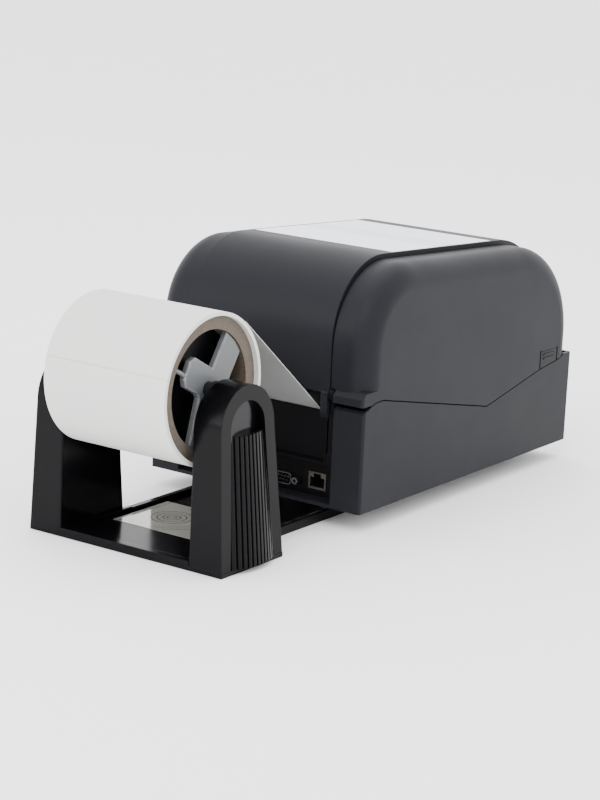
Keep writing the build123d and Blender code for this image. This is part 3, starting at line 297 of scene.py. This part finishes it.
def board_finish():
    t = Tree("board_green")
    tracks = t.voronoi(170.0, "DISTANCE_TO_EDGE")
    copper = t.remap(tracks, 0.02, 0.05, 1.0, 0.0)
    tone = t.mix(t.math("MULTIPLY", copper, 0.6), rgba((0.012, 0.075, 0.035)), rgba((0.03, 0.15, 0.07)))
    tone = t.mix(t.math("MULTIPLY", t.edge_mask(0.0003), 0.5), tone, rgba((0.3, 0.32, 0.18)))
    t.set(Base_Color=tone, Roughness=t.remap(t.noise(120.0), 0.3, 0.7, 0.25, 0.45))
    t.shader.inputs["Base Color"].default_value = rgba((0.02, 0.1, 0.05))
    t.set(Normal=t.bump(copper, 0.00003))
    return t


BAND_Y = (SHIFT - 0.152, SHIFT - 0.127)     # where the darker band runs across the window


def window_finish():
    """Milky glossy plastic, with a band a shade darker across it near the front."""
    t = Tree("window_plastic")
    y = t.axis("Y")
    band = t.math("MULTIPLY", t.remap(y, BAND_Y[0] - 0.006, BAND_Y[0], 0.0, 1.0, True),
                  t.remap(y, BAND_Y[1], BAND_Y[1] + 0.002, 1.0, 0.0))
    cloud = t.remap(t.noise(7.0, 3.0), 0.3, 0.7, 0.0, 1.0)
    tone = t.mix(cloud, rgba((0.76, 0.79, 0.94)), rgba((0.82, 0.85, 0.99)))
    ahead_of_band = t.math("GREATER_THAN", BAND_Y[1], y)
    tone = t.mix(t.math("MULTIPLY", ahead_of_band, 0.4), tone, rgba((0.55, 0.57, 0.74)))
    tone = t.mix(t.math("MULTIPLY", band, 0.6), tone, rgba((0.42, 0.45, 0.64)))
    tone = t.mix(t.math("MULTIPLY", t.edge_mask(0.0006), 0.3), tone, rgba((0.95, 0.96, 1.0)))
    smear = t.noise(45.0, 6.0, 0.6, (1.0, 4.0, 1.0))
    t.set(Base_Color=tone, Roughness=t.remap(smear, 0.3, 0.75, 0.07, 0.16))
    t.shader.inputs["Base Color"].default_value = rgba((0.78, 0.8, 0.92))
    t.set(Coat_Weight=0.5, Coat_Roughness=0.04, Subsurface_Weight=0.1)
    t.shader.inputs["Subsurface Radius"].default_value = (0.002, 0.002, 0.0022)
    t.set(Normal=t.bump(t.noise(25.0, 2.0), 0.00002, 0.6, t.soft_edge(0.0005)))
    return t


def lens_finish():
    t = Tree("lens_clear")
    cells = t.noise(2500.0, 2.0)
    tone = t.mix(t.remap(cells, 0.3, 0.7, 0.0, 1.0), rgba((0.5, 0.56, 0.5)), rgba((0.72, 0.78, 0.72)))
    tone = t.mix(t.math("MULTIPLY", t.edge_mask(0.0003), 0.4), tone, rgba((0.9, 0.95, 0.9)))
    t.set(Base_Color=tone, Roughness=t.remap(t.noise(300.0), 0.3, 0.7, 0.12, 0.22), Coat_Weight=0.4)
    t.shader.inputs["Base Color"].default_value = rgba((0.62, 0.68, 0.62))
    t.set(Normal=t.bump(cells, 0.00003, 0.5, t.soft_edge(0.0004)))
    return t


FINISH["board_green"] = board_finish()
FINISH["window_plastic"] = window_finish()
FINISH["lens_clear"] = lens_finish()


def socket_finish(name, colour, depth):
    """Socket with a thin metal rim; whatever lies deeper than the given y is painted black: the black
    moulding, and painted shade on the shell's inner walls.
    """
    t = Tree(name)
    cloud = t.noise(300.0, 4.0)
    rim = t.math("GREATER_THAN", t.axis("Y"), depth)
    bright = t.mix(t.remap(cloud, 0.3, 0.7, 0.0, 1.0), rgba(colour, 0.8), rgba(colour, 1.1))
    # deeper than depth: black moulding, plus painted shade in the socket's recess
    dark = t.mix(cloud, rgba((0.004, 0.004, 0.005)), rgba((0.01, 0.01, 0.011)))
    t.set(Base_Color=t.mix(rim, dark, bright), Metallic=t.math("MULTIPLY", rim, 0.9))
    t.shader.inputs["Base Color"].default_value = rgba(colour)
    t.set(Roughness=t.remap(t.noise(120.0), 0.3, 0.7, 0.28, 0.42), Specular_IOR_Level=0.25)
    t.set(Normal=t.bump(cloud, 0.00001, 0.6, t.soft_edge(0.0003)))
    return t


def sticker_finish():
    """Glossy threading diagram: nested rounds, a few strokes and a frame, without any lettering."""
    t = Tree("sticker")
    x, y = t.axis("X"), t.math("SUBTRACT", t.axis("Y"), SHIFT)
    ink = None

    def add(distance, width):
        nonlocal ink
        line = t.remap(t.math("ABSOLUTE", distance), width * 0.6, width, 1.0, 0.0, True)
        ink = line if ink is None else t.math("MAXIMUM", ink, line)

    for cx, cy, radii in ((-0.026, 0.074, (0.004, 0.007, 0.010, 0.0125)),
                          (-0.026, 0.048, (0.004, 0.007, 0.010)),
                          (0.02, 0.062, (0.003, 0.006, 0.010, 0.014))):
        dx, dy = t.math("SUBTRACT", x, cx), t.math("SUBTRACT", y, cy)
        away = t.math("SQRT", t.math("ADD", t.math("MULTIPLY", dx, dx), t.math("MULTIPLY", dy, dy)))
        for radius in radii:
            add(t.math("SUBTRACT", away, radius), 0.00045)
    for slope, offset in ((0.9, 0.071), (0.9, 0.076), (0.9, 0.081), (-0.6, 0.048), (-0.6, 0.052)):
        stroke = t.math("SUBTRACT", y, t.math("ADD", t.math("MULTIPLY", x, slope), offset))
        inside = t.math("MULTIPLY", t.math("LESS_THAN", t.math("ABSOLUTE", x), 0.036),
                        t.math("LESS_THAN", t.math("ABSOLUTE", t.math("SUBTRACT", y, 0.063)), 0.025))
        add(t.math("ADD", stroke, t.math("SUBTRACT", 1.0, inside)), 0.0004)
    add(t.math("SUBTRACT", t.math("ABSOLUTE", x), 0.042), 0.0004)
    cloud = t.remap(t.noise(40.0, 4.0), 0.3, 0.7, 0.0, 1.0)
    tone = t.mix(cloud, rgba((0.27, 0.27, 0.235)), rgba((0.33, 0.33, 0.295)))
    t.set(Base_Color=t.mix(t.math("MULTIPLY", ink, 0.85), tone, rgba((0.03, 0.03, 0.035))))
    t.shader.inputs["Base Color"].default_value = rgba((0.3, 0.3, 0.26))
    t.set(Roughness=t.remap(t.noise(60.0), 0.3, 0.7, 0.09, 0.16), Coat_Weight=0.7, Coat_Roughness=0.05)
    t.set(Normal=t.bump(t.noise(30.0, 2.0), 0.00003, 0.5))
    return t


ETHERNET = socket_finish("network_socket", (0.06, 0.056, 0.05), SHIFT - 0.0117)
SERIAL = socket_finish("serial_socket", (0.09, 0.088, 0.085), SHIFT - 0.0106)
USB = socket_finish("usb_socket", (0.12, 0.118, 0.115), SHIFT - 0.0117)
STICKER = sticker_finish()
JACK = metal("jack_steel", (0.09, 0.088, 0.084), 0.4)
# below: dark grey that paints the strip's underside as its liner in shade
STRIP = paper("label_strip", (0.6, 0.605, 0.59), below=(0.26, 0.265, 0.26))


def dress(obj, finish):
    obj.data.materials.clear()
    obj.data.materials.append(finish.mat)


for part in frame["record"]["subparts"]:
    dress(NODES[part["node"]], FINISH[part["material_slot"]])
for node, finish in (("ethernet_port", ETHERNET), ("serial_port", SERIAL), ("usb_port", USB),
                     ("jack_screws", JACK), ("guide_sticker", STICKER), ("label_web", STRIP)):
    dress(NODES[node], finish)


# ---- stage ----
def floor_finish():
    t = Tree("floor")
    cloud = t.noise(3.0, 4.0)
    t.set(Base_Color=t.mix(cloud, rgba((0.94, 0.94, 0.94)), rgba((0.96, 0.96, 0.96))))
    t.set(Roughness=t.remap(cloud, 0.3, 0.7, 0.6, 0.75), Specular_IOR_Level=0.2)
    return t


def plane(name, size, location, turn=(0, 0, 0)):
    mesh = bpy.data.meshes.new(name)
    h = size / 2
    mesh.from_pydata([(-h, -h, 0), (h, -h, 0), (h, h, 0), (-h, h, 0)], [], [(0, 1, 2, 3)])
    obj = bpy.data.objects.new(name, mesh)
    obj.location = location
    obj.rotation_euler = turn
    bpy.context.scene.collection.objects.link(obj)
    return obj


def light(name, size, power, place, target, colour=(1, 1, 1)):
    data = bpy.data.lights.new(name, "AREA")
    data.shape = "RECTANGLE"
    data.size, data.size_y = size
    data.energy = power
    data.color = colour
    obj = bpy.data.objects.new(name, data)
    obj.location = place
    obj.rotation_euler = (Vector(target) - Vector(place)).to_track_quat("-Z", "Y").to_euler()
    bpy.context.scene.collection.objects.link(obj)
    return obj


floor = plane("floor", 30.0, (0, 0, -0.0002))
dress(floor, floor_finish())
AIM = (0, 0, 0.1)           # above the origin, where three of the lights point
WORLD_STRENGTH = 2.8
lights = [
    light("key", (0.9, 0.9), 17.0, (-0.5, 1.5, 1.7), AIM),
    light("top", (1.2, 1.2), 10.0, (0.2, -0.4, 1.9), AIM),
    light("side", (0.35, 1.3), 1.5, (-1.9, -0.3, 0.8), AIM),
    light("rear", (0.35, 0.8), 11.0, (0.9, 1.9, 0.8), (0, 0.1, 0.1)),
]

world = bpy.data.worlds.new("studio")
world.use_nodes = True
world.node_tree.nodes["Background"].inputs["Color"].default_value = (1.0, 1.0, 1.0, 1.0)
world.node_tree.nodes["Background"].inputs["Strength"].default_value = WORLD_STRENGTH
bpy.context.scene.world = world

LENS = 105.7                               # millimetres, on a 36 mm sensor
CAMERA_TURN = (34.57, 13.71, 2.63)         # azimuth, downward tilt and roll, in degrees
CAMERA_PLACE = (-0.8989, 1.2516 + SHIFT, 0.4538)

camera_data = bpy.data.cameras.new("camera")
camera_data.sensor_fit = "AUTO"
camera_data.sensor_width = 36.0
camera_data.lens = LENS
camera_data.clip_end = 60.0
camera = bpy.data.objects.new("camera", camera_data)
bpy.context.scene.collection.objects.link(camera)
bpy.context.scene.camera = camera
azimuth, elevation, roll = (math.radians(v) for v in CAMERA_TURN)
ahead = Vector((math.cos(elevation) * math.sin(azimuth), -math.cos(elevation) * math.cos(azimuth),
                -math.sin(elevation)))
right = ahead.cross(Vector((0, 0, 1))).normalized()
above = right.cross(ahead)
camera_x = right * math.cos(roll) + above * math.sin(roll)
camera_y = above * math.cos(roll) - right * math.sin(roll)
basis = Matrix((camera_x, camera_y, -ahead)).transposed().to_4x4()
camera.matrix_world = Matrix.Translation(CAMERA_PLACE) @ basis
